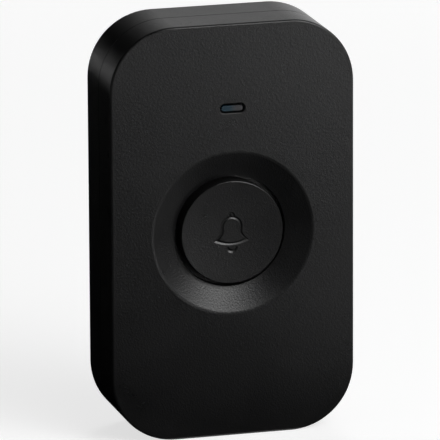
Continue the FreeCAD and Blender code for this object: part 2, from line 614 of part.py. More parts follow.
def switch_frame():
    """Steel cover over the switch, with two sides folded down."""
    clear = SWITCH_FRAME_CLEARANCE
    top = slab(SWITCH_SIDE, SWITCH_SIDE, 0, SWITCH_BODY_TOP_Y - clear, SWITCH_TOP_Y, 0, BUTTON_Z)
    sides = []
    for side in (-1, 1):
        inner = BUTTON_Z + side * (SWITCH_SIDE / 2 + clear)
        outer = inner + side * SWITCH_FRAME_THICKNESS
        edge = BUTTON_Z + side * (SWITCH_SIDE / 2 - SWITCH_FRAME_THICKNESS)
        sides.append(block((-SWITCH_SIDE / 3, SWITCH_SIDE / 3),
                           (SWITCH_TOP_Y, SWITCH_TOP_Y + SWITCH_FRAME_DROP), (inner, outer)))
        sides.append(block((-SWITCH_SIDE / 3, SWITCH_SIDE / 3), (SWITCH_TOP_Y, SWITCH_BODY_TOP_Y - clear),
                           (edge, outer)))
    hole = disc(PLUNGER_RADIUS + PLUNGER_CLEARANCE, SWITCH_TOP_Y - 1, SWITCH_BODY_TOP_Y + 1, 0, BUTTON_Z)
    return top.fuse(sides).cut(hole).removeSplitter()


def switch_plunger():
    """Actuator of the switch: a round stub, a collar inside the body and a nub on the dome."""
    collar_end = SWITCH_BODY_TOP_Y + PLUNGER_COLLAR
    stub = disc(PLUNGER_RADIUS, PLUNGER_Y, collar_end, 0, BUTTON_Z)
    collar = disc(CONTACT_WELL_RADIUS - PLUNGER_CLEARANCE, SWITCH_BODY_TOP_Y, collar_end, 0, BUTTON_Z)
    nub = disc(PLUNGER_NUB_RADIUS, collar_end, DOME_TOP_Y - PLUNGER_NUB_GAP, 0, BUTTON_Z)
    return stub.fuse([collar, nub]).removeSplitter()


def switch_dome():
    """Thin snap dome in the bottom of the switch's well."""
    sphere_radius = (DOME_RADIUS ** 2 + DOME_RISE ** 2) / (2 * DOME_RISE)
    middle = Vector(0, DOME_TOP_Y + sphere_radius, BUTTON_Z)
    room = disc(DOME_RADIUS + DOME_THICKNESS, DOME_TOP_Y - 1, WELL_FLOOR_Y, 0, BUTTON_Z)
    outer = Part.makeSphere(sphere_radius, middle)
    inner = Part.makeSphere(sphere_radius - DOME_THICKNESS, middle)
    return room.common(outer.cut(inner))


def switch_terminals():
    """Four flat legs from the switch's sides through the board."""
    legs = []
    for x, z in terminal_places():
        half_x, half_z = TERMINAL_THICKNESS / 2, TERMINAL_WIDTH / 2
        legs.append(block((x - half_x, x + half_x),
                          (BOARD_FRONT_Y - TERMINAL_TOP, BOARD_REAR_Y + TERMINAL_TAIL),
                          (z - half_z, z + half_z)))
    return Part.makeCompound(legs)


def led_body():
    """Diode package between its two end contacts."""
    half = LED_WIDTH / 2 - LED_CAP_WIDTH
    base = block((-half, half), (BOARD_FRONT_Y, LED_TOP_Y + LED_THICKNESS / 3),
                 (WINDOW_Z - LED_HEIGHT / 2, WINDOW_Z + LED_HEIGHT / 2))
    lens = block((-half, half), (LED_TOP_Y + LED_THICKNESS / 3, LED_TOP_Y),
                 (WINDOW_Z - LED_HEIGHT / 3, WINDOW_Z + LED_HEIGHT / 3))
    return base.fuse(lens).removeSplitter()


def led_contacts():
    """The diode's two end contacts."""
    ends = []
    for side in (-1, 1):
        x_outer = side * LED_WIDTH / 2
        x_inner = side * (LED_WIDTH / 2 - LED_CAP_WIDTH)
        ends.append(block((x_inner, x_outer), (BOARD_FRONT_Y, BOARD_FRONT_Y - LED_THICKNESS * 0.6),
                          (WINDOW_Z - LED_HEIGHT / 2, WINDOW_Z + LED_HEIGHT / 2)))
    return Part.makeCompound(ends)


def coin_cell():
    """Coin cell: the can faces the wall and the smaller cap faces the board."""
    can = disc(CELL_RADIUS, CELL_FRONT_Y + CELL_CAP_HEIGHT, CELL_REAR_Y, 0, CELL_Z)
    can = can.makeChamfer(CELL_EDGE_CHAMFER, circles_at(can, CELL_RADIUS, CELL_REAR_Y))
    cap = disc(CELL_CAP_RADIUS, CELL_FRONT_Y, CELL_FRONT_Y + CELL_CAP_HEIGHT, 0, CELL_Z)
    cap = cap.makeChamfer(CELL_EDGE_CHAMFER, circles_at(cap, CELL_CAP_RADIUS, CELL_FRONT_Y))
    return can.fuse(cap).removeSplitter()


def battery_holder():
    """Moulded base with a wall round the cell's upper half and arms beside it; the cell slides out down."""
    inner = CELL_RADIUS + HOLDER_CLEARANCE
    rim_y = CELL_FRONT_Y + HOLDER_RIM_HEIGHT
    arms = block((-HOLDER_RADIUS, HOLDER_RADIUS), (BOARD_REAR_Y, rim_y), (CELL_Z - HOLDER_ARM, CELL_Z))
    holder = disc(HOLDER_RADIUS, BOARD_REAR_Y, rim_y, 0, CELL_Z).fuse(arms)
    way_out = block((-inner, inner), (CELL_FRONT_Y, rim_y + 1), (CELL_Z - HOLDER_RADIUS - 1, CELL_Z))
    window = disc(HOLDER_WINDOW_RADIUS, BOARD_REAR_Y - 1, CELL_FRONT_Y + 1, 0, CELL_Z)
    room = disc(inner, CELL_FRONT_Y, rim_y + 1, 0, CELL_Z)
    return holder.cut([room, way_out, window]).removeSplitter()


def battery_clip():
    """Sprung steel strap over the cell, with a leg and a foot on each side."""
    half = CLIP_WIDTH / 2
    z_range = (CELL_Z - half, CELL_Z + half)
    top = CELL_REAR_Y + CLIP_THICKNESS
    strap = block((-CLIP_OUTSIDE, CLIP_OUTSIDE), (BOARD_REAR_Y, top), z_range)
    bends = [e for e in strap.Edges if abs(abs(e.BoundBox.Center.x) - CLIP_OUTSIDE) < 1e-6
             and abs(e.BoundBox.Center.y - top) < 1e-6 and e.BoundBox.ZLength > half]
    strap = strap.makeFillet(CLIP_BEND_RADIUS, bends)
    strap = strap.cut(block((-CLIP_INSIDE, CLIP_INSIDE), (BOARD_REAR_Y - 1, CELL_REAR_Y), z_range))
    feet = [block((side * CLIP_INSIDE, side * (CLIP_INSIDE + CLIP_FOOT)),
                  (BOARD_REAR_Y, BOARD_REAR_Y + CLIP_THICKNESS), z_range) for side in (-1, 1)]
    return strap.fuse(feet).removeSplitter()


def battery_contact():
    """Flat spring in the holder's window, between the board and the cell's cap."""
    length, width = CONTACT_LENGTH / 2, CONTACT_WIDTH / 2
    y_rest = CELL_FRONT_Y - CONTACT_THICKNESS
    leaf = block((-length / 2, length / 2), (y_rest, CELL_FRONT_Y), (CELL_Z - width, CELL_Z + width))
    foot_end = -length
    foot = block((foot_end, foot_end + CONTACT_LENGTH / 4), (BOARD_REAR_Y, BOARD_REAR_Y + CONTACT_THICKNESS),
                 (CELL_Z - width, CELL_Z + width))
    riser_x = foot_end + CONTACT_LENGTH / 4 - CONTACT_THICKNESS
    riser = block((riser_x, riser_x + CONTACT_THICKNESS), (BOARD_REAR_Y, CELL_FRONT_Y),
                  (CELL_Z - width, CELL_Z + width))
    return leaf.fuse([foot, riser]).removeSplitter()


def encoder_chip():
    """Body of the encoder chip, with a dimple at its first lead."""
    y_one = BOARD_REAR_Y + CHIP_STANDOFF
    y_two = y_one + CHIP_THICKNESS
    body = slab(CHIP_LENGTH, CHIP_WIDTH, 0, y_one, y_two, CHIP_X, CHIP_Z)
    dot_x = CHIP_X - CHIP_LENGTH / 2 + 2 * CHIP_DOT_RADIUS
    dot_z = CHIP_Z - CHIP_WIDTH / 2 + 2 * CHIP_DOT_RADIUS
    return body.cut(disc(CHIP_DOT_RADIUS, y_two - CHIP_DOT_DEPTH, y_two + 1, dot_x, dot_z))


def gull_lead(x, z_body, side, y_exit, width):
    """One lead bent from a package's side down to the board. side is +1 above the package and -1 below."""
    half = width / 2
    knee = z_body + side * LEAD_REACH / 2
    toe = z_body + side * LEAD_REACH
    t = LEAD_THICKNESS
    return block((x - half, x + half), (y_exit, y_exit + t), (z_body, knee)).fuse([
        block((x - half, x + half), (BOARD_REAR_Y, y_exit + t), (knee - side * t, knee)),
        block((x - half, x + half), (BOARD_REAR_Y, BOARD_REAR_Y + t), (knee - side * t, toe)),
    ]).removeSplitter()


def encoder_leads():
    """Eight gull-wing leads of the encoder chip."""
    exit_y = BOARD_REAR_Y + CHIP_STANDOFF + CHIP_THICKNESS / 2
    first = CHIP_X - (LEADS_PER_SIDE - 1) * CHIP_PITCH / 2
    leads = []
    for side in (-1, 1):
        for n in range(LEADS_PER_SIDE):
            z = CHIP_Z + side * CHIP_WIDTH / 2
            leads.append(gull_lead(first + n * CHIP_PITCH, z, side, exit_y, LEAD_WIDTH))
    return Part.makeCompound(leads)


def resonator_pin_places():
    """Where the resonator's three pins go through the board."""
    places = []
    for degrees in (90, 210, 330):
        angle = math.radians(degrees)
        places.append((RESONATOR_X + RESONATOR_PIN_CIRCLE * math.cos(angle),
                       RESONATOR_Z + RESONATOR_PIN_CIRCLE * math.sin(angle)))
    return places


def saw_resonator():
    """Round metal can with a brim that stands on the board."""
    brim = disc(RESONATOR_RADIUS + RESONATOR_BRIM, BOARD_REAR_Y, BOARD_REAR_Y + RESONATOR_BRIM_THICKNESS,
                RESONATOR_X, RESONATOR_Z)
    top = BOARD_REAR_Y + RESONATOR_HEIGHT
    can = disc(RESONATOR_RADIUS, BOARD_REAR_Y, top, RESONATOR_X, RESONATOR_Z)
    can = can.makeFillet(RESONATOR_BRIM, circles_at(can, RESONATOR_RADIUS, top))
    pins = [disc(RESONATOR_PIN_RADIUS, BOARD_FRONT_Y - RESONATOR_PIN_TAIL, BOARD_REAR_Y, x, z)
            for x, z in resonator_pin_places()]
    return can.fuse([brim] + pins).removeSplitter()


def rf_transistor():
    """Small three-lead package."""
    y_one = BOARD_REAR_Y + CHIP_STANDOFF
    return slab(TRANSISTOR_WIDTH, TRANSISTOR_HEIGHT, 0, y_one, y_one + TRANSISTOR_THICKNESS,
                TRANSISTOR_X, TRANSISTOR_Z)


def transistor_leads():
    """Two leads below the transistor and one above."""
    exit_y = BOARD_REAR_Y + CHIP_STANDOFF + TRANSISTOR_THICKNESS / 2
    half = TRANSISTOR_HEIGHT / 2
    spread = TRANSISTOR_WIDTH / 3
    places = [(-spread, -1), (spread, -1), (0, 1)]
    leads = []
    for dx, side in places:
        leads.append(gull_lead(TRANSISTOR_X + dx, TRANSISTOR_Z + side * half, side, exit_y, LEAD_WIDTH))
    return Part.makeCompound(leads)


def loop_antenna():
    """Printed copper loop round the upper edge of the board's rear face."""
    y_one, y_two = BOARD_REAR_Y, BOARD_REAR_Y + LOOP_THICKNESS
    outer, inner = LOOP_INSET, LOOP_INSET + LOOP_WIDTH
    ring = slab(BOARD_WIDTH - 2 * outer, BOARD_HEIGHT - 2 * outer, BOARD_CORNER_RADIUS - outer, y_one, y_two)
    ring = ring.cut(slab(BOARD_WIDTH - 2 * inner, BOARD_HEIGHT - 2 * inner,
                         BOARD_CORNER_RADIUS - inner, y_one, y_two))
    return ring.cut(block((-BOARD_WIDTH, BOARD_WIDTH), (y_one - 1, y_two + 1), (-BOARD_HEIGHT, LOOP_END_Z)))


def row_places(x, z, pitch, count):
    """Middles of a row of chip parts along X, as (x, z)."""
    first = x - pitch * (count - 1) / 2
    return [(first + n * pitch, z) for n in range(count)]


def capacitor_places():
    """Middles of the chip capacitors."""
    return row_places(CAPACITOR_ROW_X, CAPACITOR_ROW_Z, CAPACITOR_PITCH, CAPACITOR_COUNT)


def resistor_places():
    """Middles of the chip resistors."""
    return row_places(RESISTOR_ROW_X, RESISTOR_ROW_Z, RESISTOR_PITCH, RESISTOR_COUNT)


def chip_part(x, z, length, width, thickness):
    """The body of a chip part on the board, between its end caps, and the two end caps."""
    y_range = (BOARD_REAR_Y, BOARD_REAR_Y + thickness)
    z_range = (z - width / 2, z + width / 2)
    inner = length / 2 - END_CAP_LENGTH
    body = block((x - inner, x + inner), y_range, z_range)
    caps = [block((x + side * inner, x + side * length / 2), y_range, z_range) for side in (-1, 1)]
    return body, caps


def chip_parts(places, length, width, thickness):
    """The bodies and the end caps of a row of chip parts."""
    bodies, caps = [], []
    for x, z in places:
        body, ends = chip_part(x, z, length, width, thickness)
        bodies.append(body)
        caps += ends
    return bodies, caps


def main():
    """Builds every piece and writes it under its own name."""
    os.makedirs(PARTS, exist_ok=True)
    capacitors, capacitor_caps = chip_parts(capacitor_places(), CAPACITOR_LENGTH, CAPACITOR_WIDTH,
                                            CAPACITOR_THICKNESS)
    resistors, resistor_caps = chip_parts(resistor_places(), RESISTOR_LENGTH,
                                          RESISTOR_WIDTH, RESISTOR_THICKNESS)
    save("rear_cover", rear_cover())
    save("front_cover", front_cover())
    save("housing_gasket", housing_gasket())
    save("button_cap", button_cap())
    save("button_seal", button_seal())
    save("seal_clamp_ring", seal_clamp_ring())
    save("led_lens", led_lens())
    save("circuit_board", circuit_board())
    save("board_screws", board_screws())
    save("switch_body", switch_body())
    save("switch_frame", switch_frame())
    save("switch_plunger", switch_plunger())
    save("switch_dome", switch_dome())
    save("switch_terminals", switch_terminals())
    save("led_body", led_body())
    save("led_contacts", led_contacts())
    save("coin_cell", coin_cell())
    save("battery_holder", battery_holder())
    save("battery_clip", battery_clip())
    save("battery_contact", battery_contact())
    save("encoder_chip", encoder_chip())
    save("encoder_leads", encoder_leads())
    save("saw_resonator", saw_resonator())
    save("rf_transistor", rf_transistor())
    save("transistor_leads", transistor_leads())
    save("loop_antenna", loop_antenna())
    save("chip_capacitors", Part.makeCompound(capacitors))
    save("chip_resistors", Part.makeCompound(resistors))
    save("chip_end_caps", Part.makeCompound(capacitor_caps + resistor_caps))


main()
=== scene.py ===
import math

import bpy
from mathutils import Matrix, Vector


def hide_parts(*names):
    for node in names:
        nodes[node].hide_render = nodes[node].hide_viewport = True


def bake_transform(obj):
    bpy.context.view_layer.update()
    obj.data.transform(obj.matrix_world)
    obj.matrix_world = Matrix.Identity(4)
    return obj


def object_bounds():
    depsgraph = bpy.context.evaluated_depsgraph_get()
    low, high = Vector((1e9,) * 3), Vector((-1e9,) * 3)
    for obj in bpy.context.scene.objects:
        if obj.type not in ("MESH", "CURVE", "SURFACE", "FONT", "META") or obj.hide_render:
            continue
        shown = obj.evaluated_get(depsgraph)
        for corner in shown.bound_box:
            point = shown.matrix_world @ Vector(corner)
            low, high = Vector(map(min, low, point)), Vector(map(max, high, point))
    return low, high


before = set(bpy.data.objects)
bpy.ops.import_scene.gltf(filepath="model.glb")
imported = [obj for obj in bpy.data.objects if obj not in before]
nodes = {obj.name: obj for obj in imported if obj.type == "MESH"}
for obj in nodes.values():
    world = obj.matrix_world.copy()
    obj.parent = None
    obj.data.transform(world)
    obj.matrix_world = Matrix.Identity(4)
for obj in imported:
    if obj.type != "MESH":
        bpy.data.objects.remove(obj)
cad_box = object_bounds()

MM = 0.001

# The camera, found from the photograph: angles in degrees, lengths in metres.
CAMERA_AZIMUTH = -15.677
CAMERA_ELEVATION = 14.538
CAMERA_ROLL = -0.285
CAMERA_DISTANCE = 1.2706
CAMERA_TARGET = Vector((-0.12, -8.75, 0.03)) * MM
CAMERA_LENS = 542.25
CAMERA_SENSOR = 36.0
CLIP_START = 0.05
CLIP_END = 20.0

# The stage. The object stands on its lower end. Lengths in metres, light in shares of white.
# The floor is white where it is seen: it glows more from FLOOR_FADE_START out to FLOOR_FADE_END.
FLOOR_HALF = 3.0
FLOOR_COLOUR = 0.60
FLOOR_SEEN_COLOUR = 0.42
FLOOR_SEEN_GLOW = 0.70
FLOOR_FADE_START = 0.25
FLOOR_FADE_END = 1.4
FILL_LIGHT = 0.11
BACKDROP_LIGHT = 0.75
BACKDROP_NEAR = 0.35
BACKDROP_FAR = 0.80
BACKDROP_LEFT = -0.12
BACKDROP_RIGHT = 0.55

# The black card just above the floor, which only gloss sees.
FLAG_HALF = 0.9
FLAG_LIFT = 0.0004

# The key lamp is a large softbox with a hot middle that fades to its edges.
KEY_AZIMUTH = 36.0
KEY_ELEVATION = 37.0
KEY_DISTANCE = 0.70
KEY_SIZE = 0.90
KEY_RADIANCE = 7.3
KEY_SPREAD_ACROSS = 0.19
KEY_SPREAD_UP = 0.14

# A plain softbox behind the object on its right lights the back and the right side.
BACK_AZIMUTH = 158.0
BACK_ELEVATION = 38.0
BACK_DISTANCE = 0.80
BACK_SIZE = 0.30
BACK_RADIANCE = 5.0

# Soft pools of light on the card to the front right, which the front face mirrors.
POOLS = (
    dict(x=0.175, y=-0.330, radius=0.045, radiance=5.4),
    dict(x=0.270, y=-0.430, radius=0.070, radiance=8.2),
    dict(x=0.125, y=-0.170, radius=0.022, radiance=0.7),
    dict(x=0.055, y=-0.082, radius=0.018, radiance=0.85),
)

# Behind the object on its right the card pales to the floor's white: ramps along X and Y.
CORNER_RIGHT = (0.03, 0.16)
CORNER_BEHIND = (0.02, 0.16)
CORNER_LIGHT = 0.9

# Where the springy pieces start to bend and where they move fully, along Y in metres.
SEAL_BEND = (-0.0110, -0.0126)
DOME_BEND = (-0.00902, -0.00948)

# Sizes of the patterns in the finishes, in metres.
PLASTIC_CLOUD = 0.009
RUBBER_CLOUD = 0.004
RUBBER_DUST = 0.00012
LENS_HAZE = 0.0006
LENS_BLEND = (-0.0006, 0.0008)
LAMINATE_WEAVE = 0.00035
METAL_DRAWN = 0.0004
METAL_STAIN = 0.003
CERAMIC_SPECKS = 0.00008
CERAMIC_CLOUD = 0.0006

EVEN = (1.0, 1.0, 1.0)


class Finish:
    """One material: a Principled shader whose inputs come from object-space textures."""

    def __init__(self, name):
        self.material = bpy.data.materials.new(name)
        self.material.use_nodes = True
        self.tree = self.material.node_tree
        self.tree.nodes.clear()
        self.shader = self.tree.nodes.new("ShaderNodeBsdfPrincipled")
        self.output = self.tree.nodes.new("ShaderNodeOutputMaterial")
        self.link(self.shader.outputs["BSDF"], self.output.inputs["Surface"])

    def link(self, source, target):
        self.tree.links.new(source, target)

    def node(self, kind, **values):
        made = self.tree.nodes.new(kind)
        for key, value in values.items():
            if hasattr(value, "is_linked"):
                self.link(value, made.inputs[key.replace("_", " ")])
            elif key.replace("_", " ") in made.inputs:
                made.inputs[key.replace("_", " ")].default_value = value
            else:
                setattr(made, key, value)
        return made

    def set(self, **values):
        for key, value in values.items():
            socket = self.shader.inputs[key.replace("_", " ")]
            if hasattr(value, "is_linked"):
                self.link(value, socket)
            else:
                socket.default_value = value

    def place(self, stretch=EVEN):
        coordinates = self.node("ShaderNodeTexCoord")
        mapping = self.node("ShaderNodeMapping", Scale=stretch)
        self.link(coordinates.outputs["Object"], mapping.inputs["Vector"])
        return mapping.outputs["Vector"]

    def noise(self, size, detail=2.0, stretch=EVEN, roughness=0.5):
        made = self.node("ShaderNodeTexNoise", Scale=1.0 / size, Detail=detail, Roughness=roughness)
        self.link(self.place(stretch), made.inputs["Vector"])
        return made.outputs["Fac"]

    def cells(self, size, feature="F1"):
        made = self.node("ShaderNodeTexVoronoi", Scale=1.0 / size, feature=feature)
        self.link(self.place(), made.inputs["Vector"])
        return made.outputs["Distance"]

    def spread(self, value, low, high, start=0.0, end=1.0):
        made = self.node("ShaderNodeMapRange")
        self.link(value, made.inputs["Value"])
        made.inputs["From Min"].default_value = start
        made.inputs["From Max"].default_value = end
        made.inputs["To Min"].default_value = low
        made.inputs["To Max"].default_value = high
        return made.outputs["Result"]

    def mix(self, factor, first, second):
        made = self.tree.nodes.new("ShaderNodeMix")
        made.data_type = "RGBA"
        if hasattr(factor, "is_linked"):
            self.link(factor, made.inputs["Factor"])
        else:
            made.inputs["Factor"].default_value = factor
        for socket, colour in ((made.inputs[6], first), (made.inputs[7], second)):
            if hasattr(colour, "is_linked"):
                self.link(colour, socket)
            else:
                socket.default_value = (*colour, 1.0)
        return made.outputs[2]

    def sum(self, first, second, share=0.5):
        made = self.node("ShaderNodeMath", operation="MULTIPLY_ADD")
        self.link(second, made.inputs[0])
        made.inputs[1].default_value = share
        self.link(first, made.inputs[2])
        return made.outputs["Value"]

    def bump(self, height, depth, strength=1.0):
        made = self.node("ShaderNodeBump", Distance=depth, Strength=strength)
        self.link(height, made.inputs["Height"])
        self.link(made.outputs["Normal"], self.shader.inputs["Normal"])

    def on(self, *names):
        for name in names:
            for slot in nodes[name].material_slots:
                slot.material = self.material


def grained_plastic(name, dark, light, grain, depth, smooth, rough):
    """Moulded plastic with a spark-eroded grain, faint clouding and a slightly uneven gloss."""
    finish = Finish(name)
    cloud = finish.noise(PLASTIC_CLOUD, detail=3.0)
    pits = finish.noise(grain, detail=3.0, roughness=0.65)
    cells = finish.cells(grain * 1.6)
    tone = finish.sum(cloud, pits, 0.35)
    finish.set(
        Base_Color=finish.mix(finish.spread(tone, 0.0, 1.0, start=0.35, end=0.95), dark, light),
        Roughness=finish.spread(finish.sum(cloud, pits), smooth, rough, start=0.4, end=1.1),
        IOR=1.5,
    )
    finish.bump(finish.sum(pits, cells, 0.6), depth)
    return finish


def plastics():
    cover = grained_plastic("cover_plastic", dark=(0.0052, 0.0052, 0.0054), light=(0.0090, 0.0090, 0.0092),
                            grain=0.00022, depth=0.000032, smooth=0.26, rough=0.34)
    cover.on("front_cover", "rear_cover")
    button = grained_plastic("button_plastic", dark=(0.0052, 0.0052, 0.0054), light=(0.0088, 0.0088, 0.0090),
                             grain=0.00020, depth=0.000028, smooth=0.26, rough=0.34)
    button.on("button_cap")
    inner = grained_plastic("inner_plastic", dark=(0.010, 0.010, 0.011), light=(0.020, 0.020, 0.021),
                            grain=0.00030, depth=0.000012, smooth=0.38, rough=0.50)
    inner.on("battery_holder", "seal_clamp_ring")
    switch = grained_plastic("switch_plastic", dark=(0.008, 0.008, 0.009), light=(0.016, 0.016, 0.017),
                             grain=0.00015, depth=0.000006, smooth=0.34, rough=0.44)
    switch.on("switch_body")
    plunger = grained_plastic("plunger_plastic", dark=(0.008, 0.008, 0.009), light=(0.014, 0.014, 0.015),
                              grain=0.00012, depth=0.000004, smooth=0.22, rough=0.30)
    plunger.on("switch_plunger")
    chip = grained_plastic("chip_plastic", dark=(0.010, 0.010, 0.010), light=(0.024, 0.024, 0.025),
                           grain=0.00010, depth=0.000008, smooth=0.50, rough=0.62)
    chip.on("encoder_chip", "rf_transistor")


def seal_rubber():
    """Grey silicone: satin, a little milky, with moulding dust and slight mottling."""
    finish = Finish("seal_rubber")
    cloud = finish.noise(RUBBER_CLOUD, detail=3.0)
    dust = finish.noise(RUBBER_DUST)
    finish.set(
        Base_Color=finish.mix(cloud, (0.22, 0.23, 0.24), (0.32, 0.33, 0.34)),
        Roughness=finish.spread(finish.sum(cloud, dust), 0.48, 0.66, start=0.4, end=1.1),
        Subsurface_Weight=0.15,
        Subsurface_Scale=0.0008,
    )
    finish.bump(dust, 0.000008)
    finish.on("housing_gasket", "button_seal")


def lens_plastic():
    """The window: a smoke-grey light guide, bluer at the end where its lamp chip lies."""
    finish = Finish("lens_plastic")
    coordinates = finish.node("ShaderNodeTexCoord")
    axes = finish.node("ShaderNodeSeparateXYZ")
    finish.link(coordinates.outputs["Object"], axes.inputs["Vector"])
    along = finish.spread(axes.outputs["X"], 0.0, 1.0, *LENS_BLEND)
    haze = finish.noise(LENS_HAZE)
    finish.set(
        Base_Color=finish.mix(along, (0.006, 0.027, 0.042), (0.032, 0.032, 0.035)),
        Roughness=finish.spread(haze, 0.16, 0.30),
        IOR=1.49,
    )
    finish.bump(haze, 0.00002)
    finish.on("led_lens")


def board_laminate():
    """Green solder mask over copper tracks, and bare glass-fibre laminate at the cut edges."""
    finish = Finish("board_laminate")
    geometry = finish.node("ShaderNodeNewGeometry")
    axes = finish.node("ShaderNodeSeparateXYZ")
    finish.link(geometry.outputs["Normal"], axes.inputs["Vector"])
    facing = finish.node("ShaderNodeMath", operation="ABSOLUTE")
    finish.link(axes.outputs["Y"], facing.inputs[0])
    cut = finish.node("ShaderNodeMath", operation="LESS_THAN")
    finish.link(facing.outputs["Value"], cut.inputs[0])
    cut.inputs[1].default_value = 0.5
    turned = finish.node("ShaderNodeMapping", Rotation=(math.pi / 2.0, 0.0, 0.0))
    coordinates = finish.node("ShaderNodeTexCoord")
    finish.link(coordinates.outputs["Object"], turned.inputs["Vector"])
    tracks = finish.node("ShaderNodeTexBrick", Scale=260.0, Color1=grey(0.0), Color2=grey(0.0),
                         Mortar=grey(1.0), Mortar_Size=0.045, Mortar_Smooth=0.2,
                         Brick_Width=1.3, Row_Height=0.42)
    finish.link(turned.outputs["Vector"], tracks.inputs["Vector"])
    weave = finish.noise(LAMINATE_WEAVE, detail=1.0, stretch=(1.0, 1.0, 0.4))
    mask = finish.mix(tracks.outputs["Color"], (0.008, 0.075, 0.028), (0.016, 0.14, 0.045))
    cloth = finish.mix(weave, (0.30, 0.32, 0.16), (0.42, 0.44, 0.26))
    finish.set(
        Base_Color=finish.mix(cut.outputs["Value"], mask, cloth),
        Roughness=finish.spread(weave, 0.24, 0.36),
        Coat_Weight=0.35,
        Coat_Roughness=0.15,
    )
    finish.bump(finish.sum(tracks.outputs["Fac"], weave, 0.2), 0.00003)
    finish.on("circuit_board")


def metal(name, *targets, dark, light, smooth, rough, depth, stretch=EVEN):
    """Bare or plated metal: drawn along one direction, with faint stains and scuffs."""
    finish = Finish(name)
    drawn = finish.noise(METAL_DRAWN, detail=3.0, stretch=stretch)
    stain = finish.noise(METAL_STAIN, detail=3.0)
    finish.set(
        Base_Color=finish.mix(finish.sum(stain, drawn, 0.3), dark, light),
        Metallic=1.0,
        Roughness=finish.spread(finish.sum(stain, drawn, 0.8), smooth, rough, start=0.5, end=1.3),
    )
    finish.bump(drawn, depth)
    finish.on(*targets)


def metals():
    metal("screw_steel", "board_screws",
          dark=(0.42, 0.43, 0.46), light=(0.62, 0.62, 0.62), smooth=0.24, rough=0.40, depth=0.000006)
    metal("stamped_steel", "switch_frame", "battery_clip",
          dark=(0.50, 0.49, 0.47), light=(0.66, 0.65, 0.63), smooth=0.20, rough=0.36, depth=0.000006,
          stretch=(0.08, 1.0, 1.0))
    metal("dome_steel", "switch_dome",
          dark=(0.55, 0.55, 0.54), light=(0.68, 0.68, 0.67), smooth=0.14, rough=0.26, depth=0.000002)
    metal("tinned_metal", "switch_terminals", "led_contacts", "encoder_leads", "transistor_leads",
          "chip_end_caps",
          dark=(0.60, 0.60, 0.59), light=(0.76, 0.76, 0.75), smooth=0.28, rough=0.46, depth=0.000010)
    metal("cell_can", "coin_cell",
          dark=(0.52, 0.51, 0.49), light=(0.68, 0.67, 0.65), smooth=0.16, rough=0.32, depth=0.000004,
          stretch=(1.0, 1.0, 0.06))
    metal("contact_bronze", "battery_contact",
          dark=(0.55, 0.38, 0.20), light=(0.76, 0.58, 0.34), smooth=0.20, rough=0.34, depth=0.000005,
          stretch=(0.1, 1.0, 1.0))
    metal("resonator_can", "saw_resonator",
          dark=(0.50, 0.47, 0.42), light=(0.64, 0.61, 0.56), smooth=0.20, rough=0.36, depth=0.000004)
    metal("copper_track", "loop_antenna",
          dark=(0.60, 0.30, 0.15), light=(0.82, 0.48, 0.27), smooth=0.30, rough=0.46, depth=0.000006)


def ceramic(name, *targets, dark, light, smooth, rough):
    """Fired ceramic: fine specks and a slightly uneven glaze."""
    finish = Finish(name)
    specks = finish.noise(CERAMIC_SPECKS, detail=3.0)
    cloud = finish.noise(CERAMIC_CLOUD)
    finish.set(
        Base_Color=finish.mix(finish.sum(specks, cloud, 0.4), dark, light),
        Roughness=finish.spread(specks, smooth, rough),
    )
    finish.bump(specks, 0.000004)
    finish.on(*targets)


def ceramics():
    ceramic("capacitor_ceramic", "chip_capacitors",
            dark=(0.30, 0.19, 0.09), light=(0.46, 0.32, 0.18), smooth=0.42, rough=0.60)
    ceramic("resistor_ceramic", "chip_resistors",
            dark=(0.012, 0.012, 0.013), light=(0.040, 0.040, 0.042), smooth=0.22, rough=0.40)
    ceramic("led_plastic", "led_body",
            dark=(0.66, 0.68, 0.60), light=(0.78, 0.80, 0.72), smooth=0.18, rough=0.30)


def bending_copy(name, slot, body, still_y, moved_y):
    """A springy piece drawn in place of its node as a still copy of its mesh and materials, with the node
    hidden. body, still_y and moved_y are not used.
    """
    node = nodes[name]
    mesh = node.data.copy()
    for index, node_slot in enumerate(node.material_slots):
        mesh.materials[index] = node_slot.material
    piece = bpy.data.objects.new(name + "_bending", mesh)
    bpy.context.scene.collection.objects.link(piece)
    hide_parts(name)
    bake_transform(piece)


def springs():
    bending_copy("button_seal", "seal_rubber", "button", *SEAL_BEND)
    bending_copy("switch_dome", "dome_steel", "plunger", *DOME_BEND)


def aim(obj, place, target):
    obj.location = place
    obj.rotation_mode = "QUATERNION"
    obj.rotation_quaternion = (Vector(target) - Vector(place)).to_track_quat("-Z", "Y")


def direction(azimuth, elevation):
    """Unit vector from the object: azimuth 0 is the side of the front face, 90 is its right."""
    a = math.radians(azimuth)
    e = math.radians(elevation)
    return Vector((math.sin(a) * math.cos(e), -math.cos(a) * math.cos(e), math.sin(e)))


def make_camera():
    data = bpy.data.cameras.new("camera")
    data.lens = CAMERA_LENS
    data.sensor_width = CAMERA_SENSOR
    data.clip_start = CLIP_START
    data.clip_end = CLIP_END
    camera = bpy.data.objects.new("camera", data)
    bpy.context.scene.collection.objects.link(camera)
    back = direction(CAMERA_AZIMUTH, CAMERA_ELEVATION)
    a = math.radians(CAMERA_AZIMUTH)
    right = Vector((math.cos(a), math.sin(a), 0.0))
    up = back.cross(right)
    r = math.radians(CAMERA_ROLL)
    across = right * math.cos(r) + up * math.sin(r)
    upward = up * math.cos(r) - right * math.sin(r)
    eye = CAMERA_TARGET + back * CAMERA_DISTANCE
    camera.matrix_world = Matrix((
        (across.x, upward.x, back.x, eye.x),
        (across.y, upward.y, back.y, eye.y),
        (across.z, upward.z, back.z, eye.z),
        (0.0, 0.0, 0.0, 1.0),
    ))
    bpy.context.scene.camera = camera


